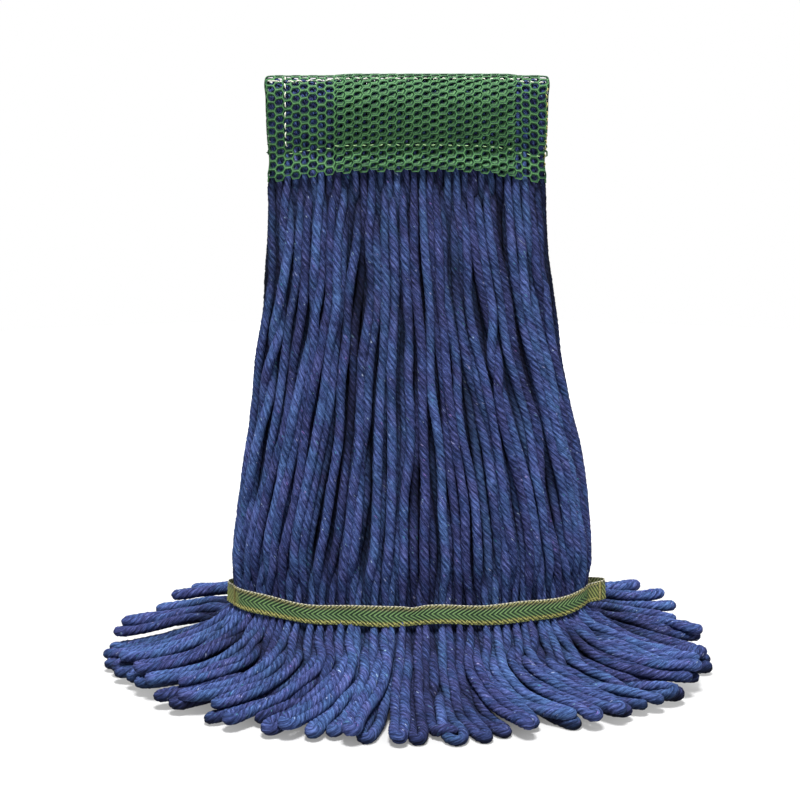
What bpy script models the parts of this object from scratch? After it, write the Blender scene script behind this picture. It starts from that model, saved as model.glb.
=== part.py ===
"""Looped-end wet mop head, standing on its splayed tails.

Two mirrored halves meet along a crease at the top. Each half is one layer of yarn, held by a
net headband at the crease and by a sewn tailband above the tails, so every piece of it lies at
some height above one shared layer surface. The front half is at -Y and the rear half at +Y.
"""

import math

import bpy
import numpy as np

MM = 0.001

# Driving dimensions of the whole head.
HEIGHT = 357 * MM
CREASE_GAP = 0.15 * MM
PIECE_GAP = 0.3 * MM
NET = 0.9 * MM
TAPE = 0.9 * MM
THREAD_RADIUS = 0.5 * MM
BUNDLES = 12

# The layer starts at the crease, turns down over a quarter arc, and follows these stations.
# step: place along the layer, z: height, half: half width, middle and side: distance from the
# crease plane at the middle and at the sides, round: 0 for a flat plan and 1 for an elliptical
# one, thick and thin: half the layer's thickness at the middle and at the sides, sway: how far
# the layer hangs to the right.
ARC_END = 0.8
STATIONS = (
    # step, z, half, middle, side, round, thick, thin, sway
    (0.80, 0.3360, 0.0800, 0.0120, 0.0069, 0.00, 0.0048, 0.0030, 0.0000),
    (1.00, 0.3360, 0.0800, 0.0120, 0.0069, 0.00, 0.0048, 0.0030, 0.0000),
    (1.55, 0.3168, 0.0795, 0.0120, 0.0069, 0.00, 0.0048, 0.0030, 0.0000),
    (1.69, 0.3120, 0.0793, 0.0110, 0.0069, 0.00, 0.0048, 0.0030, 0.0000),
    (2.00, 0.2920, 0.0785, 0.0128, 0.0069, 0.00, 0.0050, 0.0036, 0.0000),
    (2.25, 0.2350, 0.0820, 0.0165, 0.0060, 0.15, 0.0053, 0.0042, 0.0010),
    (2.50, 0.1750, 0.0895, 0.0225, 0.0056, 0.45, 0.0054, 0.0044, 0.0028),
    (2.75, 0.1150, 0.0975, 0.0290, 0.0048, 0.80, 0.0054, 0.0046, 0.0042),
    (2.92, 0.0700, 0.1025, 0.0335, 0.0030, 1.00, 0.0052, 0.0046, 0.0030),
    (3.00, 0.0565, 0.1035, 0.0335, 0.0014, 1.00, 0.0036, 0.0036, 0.0025),
    (3.20, 0.0345, 0.1045, 0.0345, 0.0014, 1.00, 0.0036, 0.0036, 0.0025),
    (3.32, 0.0262, 0.1150, 0.0490, 0.0014, 1.00, 0.0044, 0.0044, 0.0025),
    (3.48, 0.0180, 0.1330, 0.0700, 0.0012, 1.00, 0.0046, 0.0046, 0.0020),
    (3.65, 0.0100, 0.1525, 0.0930, 0.0010, 1.00, 0.0046, 0.0046, 0.0010),
    (3.85, 0.0046, 0.1710, 0.1170, 0.0008, 1.00, 0.0046, 0.0046, 0.0000),
    (4.00, 0.0046, 0.1850, 0.1350, 0.0008, 1.00, 0.0046, 0.0046, 0.0000),
)
STEP, Z, HALF, MIDDLE, SIDE, ROUND, THICK, THIN, SWAY = range(9)
STEPS = np.array([station[STEP] for station in STATIONS])
TAIL_ON_FLOOR = 3.85
TAIL_END = STATIONS[-1][STEP]
SMALL_STEP = 0.004
# The layer's outer face leans with it from this step on, and fully after this many steps.
LEAN_FROM = 2.0
LEAN_STEPS = 0.75
BUNDLE_STEPS = (0.0, 0.27, 0.53, 0.8, 1.55, 1.69, 2.0, 2.25, 2.5, 2.75, 2.92, 3.0, 3.2, 3.32,
                3.48, 3.65, 3.85, 4.0)

# Headband: where its lower edge and its seams run, and the stretch where the net is double.
SEAM_STEP = 1.69
BAND_END_SIDE = 1.954
BAND_END_MIDDLE = 1.845
CENTER_SEAM_STEP = 0.42
OVERLAP_FROM = -0.52
OVERLAP_TO = 0.77
SIDE_SEAM_LEFT = -0.875
SIDE_SEAM_RIGHT = 0.9
SEAM_END = 0.93
SEAM_CLIMB = 0.02
SEAM_CLEARANCE = 0.08
FLAT_HALF = 0.45

# Tailband: the tapes run over the straight stretch of the layer above the tails, and rise
# towards their ends. Zigzag bar tacks close them there.
TAPE_FROM = 3.072
TAPE_TO = 3.182
TAPE_RISE = 0.042
TAPE_END = 0.975
TAPE_THREAD_LEVEL = 2 * PIECE_GAP + TAPE + THREAD_RADIUS
TAPE_SEAM_INSET = 0.016
TACK_PLACE = 0.95
TACK_INSET = 0.012
TACK_SWING = 0.012
TACK_TURNS = 9
TACK_RADIUS = 0.4 * MM

YARN_BLUE = (0.052, 0.082, 0.235)
NET_GREEN = (0.055, 0.165, 0.045)
NET_DARK_GREEN = (0.035, 0.105, 0.035)
THREAD_WHITE = (0.72, 0.74, 0.70)
THREAD_GOLD = (0.42, 0.33, 0.10)
TAPE_GREEN = (0.13, 0.19, 0.09)


def station_value(column, step):
    return float(np.interp(step, STEPS, [station[column] for station in STATIONS]))


def flat_crown(across):
    """1 over the flat middle of the layer, falling to 0 at its sides."""
    beyond = max(0.0, abs(across) - FLAT_HALF) / (1 - FLAT_HALF)
    return 1 - beyond * beyond


def half_thickness(across, step):
    thin = station_value(THIN, step)
    return thin + (station_value(THICK, step) - thin) * flat_crown(across)


def layer_point(across, step):
    """A point of the front half's middle surface; across runs from -1 at the left to 1."""
    roundness = station_value(ROUND, step)
    turn = across * math.pi / 2
    x_share = (1 - roundness) * across + roundness * math.sin(turn)
    y_share = (1 - roundness) * flat_crown(across) + roundness * math.cos(turn)
    side = station_value(SIDE, step)
    reach = side + (station_value(MIDDLE, step) - side) * y_share
    half = station_value(HALF, step)
    height = station_value(Z, step)
    if step < 1:
        crest = HEIGHT - CREASE_GAP - 2 * (NET + PIECE_GAP) - half_thickness(across, step)
        arc = min(step / ARC_END, 1) * math.pi / 2
        height = crest - reach * (1 - math.cos(arc))
        straight = max(0.0, step - ARC_END) / (1 - ARC_END)
        height += (station_value(Z, 1.0) - height) * straight
        reach = CREASE_GAP + (reach - CREASE_GAP) * math.sin(arc)
    return np.array((half * x_share + station_value(SWAY, step), -reach, height))


def unit(vector):
    return vector / np.linalg.norm(vector)


def layer_axes(across, step):
    """Directions along the layer's width and out of its outer face."""
    low = max(-1.0, across - SMALL_STEP)
    high = min(1.0, across + SMALL_STEP)
    sideways = unit(layer_point(high, step) - layer_point(low, step))
    if step <= ARC_END:
        arc = step / ARC_END * math.pi / 2
        return sideways, np.array((0.0, -math.sin(arc), math.cos(arc)))
    before = layer_point(across, step - SMALL_STEP)
    after = layer_point(across, min(TAIL_END, step + SMALL_STEP))
    along = unit(after - before)
    full = unit(np.cross(along, sideways))
    upright = unit(np.array((0.0, along[2], -along[1])))
    share = min(max((step - LEAN_FROM) / LEAN_STEPS, 0.0), 1.0)
    return sideways, unit(full * share + upright * (1 - share))


def place(half_sign, across, step, share, offset, sideways_offset=0.0):
    """A point at share of the half thickness plus offset out of the layer, on either half."""
    sideways, outward = layer_axes(across, step)
    out = share * half_thickness(across, step) + offset
    x, y, z = layer_point(across, step) + outward * out + sideways * sideways_offset
    return (x, min(y, -CREASE_GAP) * half_sign, max(z, 0.0))


def add_object(name, points, faces, material, half_sign):
    """A mesh object whose faces are given for the front half and turned round for the rear."""
    mesh = bpy.data.meshes.new(name)
    order = 1 if half_sign > 0 else -1
    mesh.from_pydata(points, [], [face[::order] for face in faces])
    mesh.materials.append(material)
    mesh.validate()
    mesh.shade_smooth()
    mesh.set_sharp_from_angle(angle=math.radians(40))
    item = bpy.data.objects.new(name, mesh)
    bpy.context.scene.collection.objects.link(item)
    return item


def loft_faces(rings, count, crossed=()):
    """Triangles between rings of count points each, and a cap at each end.

    Each quad is split from its first point, or from its second where that point is crossed, so
    that the matching sides of two neighbours bend the same way.
    """
    faces = []
    for ring in range(rings - 1):
        start = ring * count
        for point in range(count):
            first = start + point
            second = start + (point + 1) % count
            if point in crossed:
                faces.append((first, first + count, second))
                faces.append((first + count, second + count, second))
            else:
                faces.append((first, first + count, second + count))
                faces.append((first, second + count, second))
    faces.append(tuple(range(count)))
    faces.append(tuple(range((rings - 1) * count, rings * count))[::-1])
    return faces


def yarn_bundle(name, half_sign, number, material):
    """Eight strands, four loops at the tail, as one bundle from the crease to the tail's end."""
    width = 2 / BUNDLES
    left = -1 + number * width
    section = ((0, 0.5), (0.25, 1), (0.75, 1), (1, 0.5), (1, -0.5), (0.75, -1), (0.25, -1), (0, -0.5))
    points = []
    for step in BUNDLE_STEPS:
        last = step == BUNDLE_STEPS[-1]
        for along, share in section:
            inset = PIECE_GAP * (0.7 - 1.4 * along)
            across = left + width * (0.1 + 0.8 * along if last else along)
            level = 0.1 if last and share > 0 else share
            x, y, z = place(half_sign, across, step, level, 0.0, inset)
            if step >= TAIL_ON_FLOOR and share < -0.9:
                z = 0.0
            points.append((x, y, z))
    rising = [i for i, (_, share) in enumerate(section) if share < section[(i + 1) % len(section)][1]]
    faces = loft_faces(len(BUNDLE_STEPS), len(section), rising)
    return add_object(name, points, faces, material, half_sign)


def shell(name, half_sign, near, far, rows, material):
    """A closed sheet of one layer's thickness.

    near and far are matching columns of its two faces, each (across, share, offset, sideways),
    and rows gives the steps down one column.
    """
    points = []
    for side in (near, far):
        for across, share, offset, sideways in side:
            for step in rows(across):
                points.append(place(half_sign, across, step, share, offset, sideways))
    height = len(rows(0.0))
    width = len(near)
    lift = height * width
    faces = []
    for column in range(width - 1):
        for row in range(height - 1):
            corner = column * height + row
            quad = (corner, corner + 1, corner + height + 1, corner + height)
            faces.append(quad[::-1])
            faces.append(tuple(index + lift for index in quad))
    edge = [column * height for column in range(width)]
    edge += [(width - 1) * height + row for row in range(1, height)]
    edge += [column * height + height - 1 for column in range(width - 2, -1, -1)]
    edge += [row for row in range(height - 2, 0, -1)]
    for first, second in zip(edge, edge[1:] + edge[:1]):
        faces.append((second, first, first + lift, second + lift))
    return add_object(name, points, faces, material, half_sign)


def spread(first, last, count):
    return [first + (last - first) * index / (count - 1) for index in range(count)]


def band_rows(across):
    """Steps from the crease to the headband's lower edge, which is arched up in the middle."""
    end = BAND_END_SIDE + (BAND_END_MIDDLE - BAND_END_SIDE) * (1 - across * across)
    return [0.0, 0.27, 0.53, 0.8, 1.55, SEAM_STEP, end]


def outer_net(name, half_sign, material):
    """The net over the outer face of the yarn, turned in at both sides."""
    middle = (-0.8, -0.62, -FLAT_HALF, 0.0, FLAT_HALF, 0.62, 0.8)
    face = PIECE_GAP + NET
    near = [(-1, -0.2, 0, -PIECE_GAP), (-1, 0.6, 0, -PIECE_GAP), (-0.952, 1, PIECE_GAP, 0)]
    near += [(across, 1, PIECE_GAP, 0) for across in middle]
    near += [(0.952, 1, PIECE_GAP, 0), (1, 0.6, 0, PIECE_GAP), (1, -0.2, 0, PIECE_GAP)]
    far = [(-1, -0.2, 0, -face), (-1, 0.75, 0, -face), (-0.96, 1, face, 0)]
    far += [(across, 1, face, 0) for across in middle]
    far += [(0.96, 1, face, 0), (1, 0.75, 0, face), (1, -0.2, 0, face)]
    return shell(name, half_sign, near, far, band_rows, material)


def inner_net(name, half_sign, material):
    middle = spread(-0.95, 0.95, 9)
    near = [(across, -1, -PIECE_GAP - NET, 0) for across in middle]
    far = [(across, -1, -PIECE_GAP, 0) for across in middle]
    return shell(name, half_sign, near, far, band_rows, material)


def overlap_net(name, half_sign, material):
    """The second ply, where the two ends of the net strip lap over each other."""
    columns = (OVERLAP_FROM, -FLAT_HALF, 0.0, FLAT_HALF, 0.61, OVERLAP_TO)
    low = PIECE_GAP * 2 + NET
    near = [(across, 1, low, 0) for across in columns]
    far = [(across, 1, low + NET, 0) for across in columns]
    return shell(name, half_sign, near, far, band_rows, material)


def tape_rows(across):
    """Steps of the tape's upper and lower edges."""
    rise = TAPE_RISE * across * across
    return TAPE_FROM - rise, TAPE_TO - rise


def tailband_tape(name, half_sign, outer, material):
    width = 2 / BUNDLES
    columns = [-1 + width * (number + along) for number in range(BUNDLES) for along in (0.25, 0.75)]
    columns = [-TAPE_END] + columns[1:-1] + [TAPE_END]
    low, high = (PIECE_GAP, PIECE_GAP + TAPE) if outer else (-PIECE_GAP - TAPE, -PIECE_GAP)
    share = 1 if outer else -1
    near = [(across, share, low, 0) for across in columns]
    far = [(across, share, high, 0) for across in columns]
    return shell(name, half_sign, near, far, tape_rows, material)


def thread(name, half_sign, route, material, radius=THREAD_RADIUS, sides=5):
    """One run of sewing thread along a route of (across, step, offset) points."""
    centers = [np.array(place(1, across, step, 1, offset)) for across, step, offset in route]
    points = []
    for index, center in enumerate(centers):
        ahead = centers[min(index + 1, len(centers) - 1)]
        behind = centers[max(index - 1, 0)]
        along = unit(ahead - behind)
        _, outward = layer_axes(route[index][0], route[index][1])
        beside = unit(np.cross(along, outward))
        above = np.cross(beside, along)
        for side in range(sides):
            angle = 2 * math.pi * side / sides
            x, y, z = center + radius * (beside * math.cos(angle) + above * math.sin(angle))
            points.append((x, min(y, -CREASE_GAP) * half_sign, z))
    return add_object(name, points, loft_faces(len(centers), sides), material, half_sign)


def thread_level(across):
    """Height of a headband thread above the yarn: over two plies of net, or over one."""
    single = 2 * PIECE_GAP + NET + THREAD_RADIUS
    edge = 1.5 * SEAM_CLIMB
    on_overlap = OVERLAP_FROM - edge < across < OVERLAP_TO + edge
    return single + (PIECE_GAP + NET if on_overlap else 0.0)


def across_seam(name, half_sign, step, material):
    """A seam that runs the width of the headband."""
    places = spread(-SEAM_END, OVERLAP_FROM - 3 * SEAM_CLIMB, 4)
    places += spread(OVERLAP_FROM - SEAM_CLIMB, OVERLAP_TO + SEAM_CLIMB, 11)
    places += [OVERLAP_TO + 3 * SEAM_CLIMB, SEAM_END]
    route = [(across, step, thread_level(across)) for across in places]
    return thread(name, half_sign, route, material)


def side_seam(name, half_sign, across, material):
    """A seam down one end of the headband, between the seams that run across."""
    steps = (CENTER_SEAM_STEP + SEAM_CLEARANCE, 0.65, 0.8, 1.55, SEAM_STEP - SEAM_CLEARANCE)
    route = [(across, step, thread_level(across)) for step in steps]
    return thread(name, half_sign, route, material)


def tape_seam(name, half_sign, edge, inset, material):
    """A seam along the tape's upper edge, 0, or its lower, 1, that many steps down from it."""
    places = spread(-SEAM_END, SEAM_END, 23)
    route = [(across, tape_rows(across)[edge] + inset, TAPE_THREAD_LEVEL) for across in places]
    return thread(name, half_sign, route, material)


def bar_tack(name, half_sign, across, material):
    """Zigzag stitching that closes one end of the tailband."""
    upper, lower = tape_rows(across)
    swings = [TACK_SWING if turn % 2 else -TACK_SWING for turn in range(TACK_TURNS)]
    steps = spread(upper + TACK_INSET, lower - TACK_INSET, TACK_TURNS)
    route = [(across + swing, step, TAPE_THREAD_LEVEL) for swing, step in zip(swings, steps)]
    return thread(name, half_sign, route, material, radius=TACK_RADIUS)


def surface_material(name, color, roughness):
    material = bpy.data.materials.new(name)
    material.use_nodes = True
    shader = material.node_tree.nodes["Principled BSDF"]
    shader.inputs["Base Color"].default_value = (*color, 1)
    shader.inputs["Roughness"].default_value = roughness
    shader.inputs["Metallic"].default_value = 0
    return material


def build_half(half, half_sign, pivot):
    """All the pieces of one half, hung from the pivot on the crease if it is given."""
    pieces = []
    yarn = surface_material(half + "_yarn", YARN_BLUE, 0.95)
    net = surface_material(half + "_net", NET_GREEN, 0.7)
    net_dark = surface_material(half + "_net_dark", NET_DARK_GREEN, 0.7)
    white = surface_material(half + "_thread_white", THREAD_WHITE, 0.6)
    gold = surface_material(half + "_thread_gold", THREAD_GOLD, 0.6)
    tape = surface_material(half + "_tape", TAPE_GREEN, 0.75)
    for number in range(BUNDLES):
        name = f"{half}_yarn_bundle_{number + 1:02d}"
        pieces.append(yarn_bundle(name, half_sign, number, yarn))
    pieces.append(outer_net(half + "_headband_net_outer", half_sign, net))
    pieces.append(overlap_net(half + "_headband_net_overlap", half_sign, net))
    pieces.append(inner_net(half + "_headband_net_inner", half_sign, net_dark))
    pieces.append(across_seam(half + "_headband_lower_seam", half_sign, SEAM_STEP, white))
    pieces.append(side_seam(half + "_headband_left_seam", half_sign, SIDE_SEAM_LEFT, white))
    pieces.append(side_seam(half + "_headband_right_seam", half_sign, SIDE_SEAM_RIGHT, gold))
    pieces.append(tailband_tape(half + "_tailband_outer_tape", half_sign, True, tape))
    pieces.append(tailband_tape(half + "_tailband_inner_tape", half_sign, False, tape))
    pieces.append(tape_seam(half + "_tailband_upper_seam", half_sign, 0, TAPE_SEAM_INSET, gold))
    pieces.append(tape_seam(half + "_tailband_lower_seam", half_sign, 1, -TAPE_SEAM_INSET, gold))
    pieces.append(bar_tack(half + "_tailband_left_tack", half_sign, -TACK_PLACE, gold))
    pieces.append(bar_tack(half + "_tailband_right_tack", half_sign, TACK_PLACE, gold))
    if half_sign > 0:
        pieces.append(across_seam("headband_center_seam", half_sign, CENTER_SEAM_STEP, white))
    if pivot:
        for piece in pieces:
            piece.parent = pivot
            piece.matrix_parent_inverse = pivot.matrix_world.inverted()


def add_pivot():
    """The crease along the top, about which the rear half swings open."""
    pivot = bpy.data.objects.new("headband_fold_axis", None)
    pivot.location = (0, 0, HEIGHT)
    bpy.context.scene.collection.objects.link(pivot)
    bpy.context.view_layer.update()
    return pivot


def main():
    for item in list(bpy.data.objects):
        bpy.data.objects.remove(item)
    build_half("front", 1, None)
    build_half("rear", -1, add_pivot())


main()
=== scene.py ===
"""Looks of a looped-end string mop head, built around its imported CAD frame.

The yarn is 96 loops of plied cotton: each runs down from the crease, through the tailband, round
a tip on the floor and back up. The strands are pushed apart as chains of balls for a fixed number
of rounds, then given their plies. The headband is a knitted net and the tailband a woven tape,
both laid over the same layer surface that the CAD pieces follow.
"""

import math

import bpy
import numpy as np
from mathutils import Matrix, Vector


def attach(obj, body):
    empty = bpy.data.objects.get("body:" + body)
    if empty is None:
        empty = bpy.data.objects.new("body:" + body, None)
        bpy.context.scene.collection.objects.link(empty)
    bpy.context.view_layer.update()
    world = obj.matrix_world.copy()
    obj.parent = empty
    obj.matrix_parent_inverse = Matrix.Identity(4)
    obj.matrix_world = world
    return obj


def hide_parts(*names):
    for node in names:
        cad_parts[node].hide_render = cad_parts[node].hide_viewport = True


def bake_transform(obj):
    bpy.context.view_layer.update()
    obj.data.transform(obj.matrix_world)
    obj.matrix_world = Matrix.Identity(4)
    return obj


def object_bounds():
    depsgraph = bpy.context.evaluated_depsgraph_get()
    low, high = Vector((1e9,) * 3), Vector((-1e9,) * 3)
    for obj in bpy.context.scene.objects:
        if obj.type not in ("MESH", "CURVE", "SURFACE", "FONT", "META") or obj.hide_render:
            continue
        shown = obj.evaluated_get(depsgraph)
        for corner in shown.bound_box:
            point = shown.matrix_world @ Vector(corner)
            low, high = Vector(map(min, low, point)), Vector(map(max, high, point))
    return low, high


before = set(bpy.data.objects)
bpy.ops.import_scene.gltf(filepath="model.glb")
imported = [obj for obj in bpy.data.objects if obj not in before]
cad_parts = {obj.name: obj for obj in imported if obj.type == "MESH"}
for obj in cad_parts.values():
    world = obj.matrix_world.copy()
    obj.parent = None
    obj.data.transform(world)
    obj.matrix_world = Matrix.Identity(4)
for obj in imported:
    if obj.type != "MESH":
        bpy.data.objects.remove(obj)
CAD_BOX = [list(corner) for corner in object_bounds()]

MM = 0.001
HALVES = (("front", 1), ("rear", -1))
SEED = 20

# ---------------------------------------------------------------- the layer that the CAD follows

HEIGHT = CAD_BOX[1][2]
CREASE_GAP = 0.15 * MM
PIECE_GAP = 0.3 * MM
NET = 0.9 * MM
TAPE = 0.9 * MM
BUNDLES = 12
ARC_END = 0.8
FLAT_HALF = 0.45
STATIONS = np.array((
    # step, z, half, middle, side, round, thick, thin, sway
    (0.80, 0.3360, 0.0800, 0.0120, 0.0069, 0.00, 0.0048, 0.0030, 0.0000),
    (1.00, 0.3360, 0.0800, 0.0120, 0.0069, 0.00, 0.0048, 0.0030, 0.0000),
    (1.55, 0.3168, 0.0795, 0.0120, 0.0069, 0.00, 0.0048, 0.0030, 0.0000),
    (1.69, 0.3120, 0.0793, 0.0110, 0.0069, 0.00, 0.0048, 0.0030, 0.0000),
    (2.00, 0.2920, 0.0785, 0.0128, 0.0069, 0.00, 0.0050, 0.0036, 0.0000),
    (2.25, 0.2350, 0.0820, 0.0165, 0.0060, 0.15, 0.0053, 0.0042, 0.0010),
    (2.50, 0.1750, 0.0895, 0.0225, 0.0056, 0.45, 0.0054, 0.0044, 0.0028),
    (2.75, 0.1150, 0.0975, 0.0290, 0.0048, 0.80, 0.0054, 0.0046, 0.0042),
    (2.92, 0.0700, 0.1025, 0.0335, 0.0030, 1.00, 0.0052, 0.0046, 0.0030),
    (3.00, 0.0565, 0.1035, 0.0335, 0.0014, 1.00, 0.0036, 0.0036, 0.0025),
    (3.20, 0.0345, 0.1045, 0.0345, 0.0014, 1.00, 0.0036, 0.0036, 0.0025),
    (3.32, 0.0262, 0.1150, 0.0490, 0.0014, 1.00, 0.0044, 0.0044, 0.0025),
    (3.48, 0.0180, 0.1330, 0.0700, 0.0012, 1.00, 0.0046, 0.0046, 0.0020),
    (3.65, 0.0100, 0.1525, 0.0930, 0.0010, 1.00, 0.0046, 0.0046, 0.0010),
    (3.85, 0.0046, 0.1710, 0.1170, 0.0008, 1.00, 0.0046, 0.0046, 0.0000),
    (4.00, 0.0046, 0.1850, 0.1350, 0.0008, 1.00, 0.0046, 0.0046, 0.0000),
))
STEP, Z, HALF, MIDDLE, SIDE, ROUND, THICK, THIN, SWAY = range(9)
FINE_STEP = 0.01
ROUNDING = 13
RIM_STEP = 4.0
BEYOND_RIM = 0.15
SLOPE_REACH = 0.004
FLAT_UNTIL = 2
FLAT_FADES = 0.75


def round_off_stations():
    """The stations read at fine steps, run on past the rim, and averaged over a short window so
    that no kink shows."""
    steps = np.arange(ARC_END, RIM_STEP + BEYOND_RIM + FINE_STEP / 2, FINE_STEP)
    last = STATIONS[-1] + (STATIONS[-1] - STATIONS[-2])
    stations = np.vstack((STATIONS, last))
    window = np.hanning(ROUNDING + 2)[1:-1]
    window /= window.sum()
    columns = [steps]
    for column in stations.T[1:]:
        fine = np.interp(steps, stations[:, STEP], column)
        padded = np.pad(fine, ROUNDING // 2, mode="reflect", reflect_type="odd")
        columns.append(np.convolve(padded, window, "valid"))
    return np.array(columns)


FINE = round_off_stations()


def station(column, step):
    return np.interp(step, FINE[STEP], FINE[column])


def unit(vectors):
    return vectors / np.maximum(np.linalg.norm(vectors, axis=-1, keepdims=True), 1e-12)


def smoothstep(low, high, value):
    share = np.clip((value - low) / (high - low), 0, 1)
    return share * share * (3 - 2 * share)


def flat_crown(across):
    """1 over the flat middle of the layer, falling to 0 at its sides."""
    beyond = np.maximum(0, np.abs(across) - FLAT_HALF) / (1 - FLAT_HALF)
    return 1 - beyond * beyond


def half_thickness(across, step):
    thin = station(THIN, step)
    return thin + (station(THICK, step) - thin) * flat_crown(across)


def layer_point(across, step):
    """Points of the front half's middle surface, as the CAD places them."""
    across, step = np.broadcast_arrays(across, step)
    roundness = station(ROUND, step)
    turn = across * np.pi / 2
    x_share = (1 - roundness) * across + roundness * np.sin(turn)
    y_share = (1 - roundness) * flat_crown(across) + roundness * np.cos(turn)
    side = station(SIDE, step)
    reach = side + (station(MIDDLE, step) - side) * y_share
    crest = HEIGHT - CREASE_GAP - 2 * (NET + PIECE_GAP) - half_thickness(across, step)
    arc = np.minimum(step / ARC_END, 1) * np.pi / 2
    arched = crest - reach * (1 - np.cos(arc))
    straight = np.clip((step - ARC_END) / (1 - ARC_END), 0, 1)
    arched = arched + (station(Z, 1.0) - arched) * straight
    over_crease = step < 1
    height = np.where(over_crease, arched, station(Z, step))
    reach = np.where(over_crease, CREASE_GAP + (reach - CREASE_GAP) * np.sin(arc), reach)
    return np.stack((station(HALF, step) * x_share + station(SWAY, step), -reach, height), -1)


def layer_axes(across, step):
    """Directions along the layer's width and out of its outer face."""
    across, step = np.broadcast_arrays(across, step)
    low = layer_point(np.maximum(across - SLOPE_REACH, -1), step)
    high = layer_point(np.minimum(across + SLOPE_REACH, 1), step)
    sideways = unit(high - low)
    along = unit(layer_point(across, step + SLOPE_REACH) - layer_point(across, step - SLOPE_REACH))
    upright = np.stack((0 * across, along[..., 2], -along[..., 1]), -1)
    share = np.clip((step - FLAT_UNTIL) / FLAT_FADES, 0, 1)[..., None]
    outward = unit(unit(np.cross(along, sideways)) * share + unit(upright) * (1 - share))
    arc = step / ARC_END * np.pi / 2
    over = np.stack((0 * arc, -np.sin(arc), np.cos(arc)), -1)
    return sideways, np.where((step <= ARC_END)[..., None], over, outward)


# ---------------------------------------------------------------- meshes and materials


def add_mesh(name, points, faces, attributes=(), smooth=True):
    """A mesh object from arrays of faces, each array of one face size, and point attributes."""
    mesh = bpy.data.meshes.new(name)
    mesh.vertices.add(len(points))
    mesh.vertices.foreach_set("co", np.asarray(points, np.float32).ravel())
    corners = np.concatenate([face.ravel() for face in faces]).astype(np.int32)
    sizes = np.concatenate([np.full(len(face), face.shape[1]) for face in faces])
    mesh.loops.add(len(corners))
    mesh.loops.foreach_set("vertex_index", corners)
    mesh.polygons.add(len(sizes))
    mesh.polygons.foreach_set("loop_start", (np.cumsum(sizes) - sizes).astype(np.int32))
    mesh.update(calc_edges=True)
    if smooth:
        mesh.shade_smooth()
    for key, values in attributes:
        kind, field = ("FLOAT", "value") if values.ndim == 1 else ("FLOAT_VECTOR", "vector")
        data = mesh.attributes.new(key, kind, "POINT").data
        data.foreach_set(field, np.asarray(values, np.float32).ravel())
    item = bpy.data.objects.new(name, mesh)
    bpy.context.scene.collection.objects.link(item)
    return item


def ring_faces(rings, count, start):
    """Quads between rings of count points, and a fan to a middle point at each end."""
    ring, point = np.meshgrid(np.arange(rings - 1), np.arange(count), indexing="ij")
    here = start + ring * count + point
    beside = start + ring * count + (point + 1) % count
    quads = np.stack((here, beside, beside + count, here + count), -1).reshape(-1, 4)
    first = start + np.arange(count)
    last = first + (rings - 1) * count
    top = start + rings * count
    heads = np.stack((np.full(count, top), np.roll(first, -1), first), -1)
    tails = np.stack((np.full(count, top + 1), last, np.roll(last, -1)), -1)
    return quads, np.concatenate((heads, tails))


def transported_frames(paths):
    """Tangents, and two cross directions that turn as little as they can along each path."""
    tangent = unit(np.gradient(paths, axis=1))
    across = np.empty_like(paths)
    guide = np.where(np.abs(tangent[:, 0, :1]) > 0.8, (0.0, 1.0, 0.0), (1.0, 0.0, 0.0))
    previous = unit(guide - tangent[:, 0] * (guide * tangent[:, 0]).sum(-1, keepdims=True))
    for index in range(paths.shape[1]):
        here = tangent[:, index]
        previous = unit(previous - here * (previous * here).sum(-1, keepdims=True))
        across[:, index] = previous
    return tangent, across, np.cross(tangent, across)


def tube_points(paths, radii, profile, turns):
    """Rings of points round each path: profile is the section's radius at even angles, and
    turns the angle by which each ring is turned."""
    tangent, across, above = transported_frames(paths)
    angle = np.arange(len(profile)) * 2 * np.pi / len(profile) + turns[..., None]
    size = radii[..., None] * profile
    ring = across[:, :, None] * (np.cos(angle) * size)[..., None]
    ring = ring + above[:, :, None] * (np.sin(angle) * size)[..., None]
    return paths[:, :, None] + ring


def path_lengths(paths):
    """Distance from the start to each point of each path."""
    links = np.linalg.norm(np.diff(paths[..., :3], axis=1), axis=-1)
    return np.concatenate((np.zeros((len(paths), 1)), np.cumsum(links, 1)), 1)


def even_points(paths, count):
    """The same paths, with all their channels, read at count even distances."""
    lengths = path_lengths(paths)
    result = np.empty((len(paths), count, paths.shape[2]))
    for row, (path, length) in enumerate(zip(paths, lengths)):
        wanted = np.linspace(0, length[-1], count)
        for channel in range(paths.shape[2]):
            result[row, :, channel] = np.interp(wanted, length, path[:, channel])
    return result


def curve_through(paths, parts):
    """A smooth curve through the points, with parts points for each of theirs."""
    before = np.concatenate((2 * paths[:, :1] - paths[:, 1:2], paths[:, :-1]), 1)[:, :-1]
    start = paths[:, :-1]
    stop = paths[:, 1:]
    after = np.concatenate((paths[:, 1:], 2 * paths[:, -1:] - paths[:, -2:-1]), 1)[:, 1:]
    share = (np.arange(parts) / parts)[:, None]
    pieces = 0.5 * (
        2 * start[:, :, None]
        + (stop - before)[:, :, None] * share
        + (2 * before - 5 * start + 4 * stop - after)[:, :, None] * share**2
        + (3 * start - before - 3 * stop + after)[:, :, None] * share**3
    )
    pieces = pieces.reshape(len(paths), -1, paths.shape[2])
    return np.concatenate((pieces, paths[:, -1:]), 1)


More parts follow.
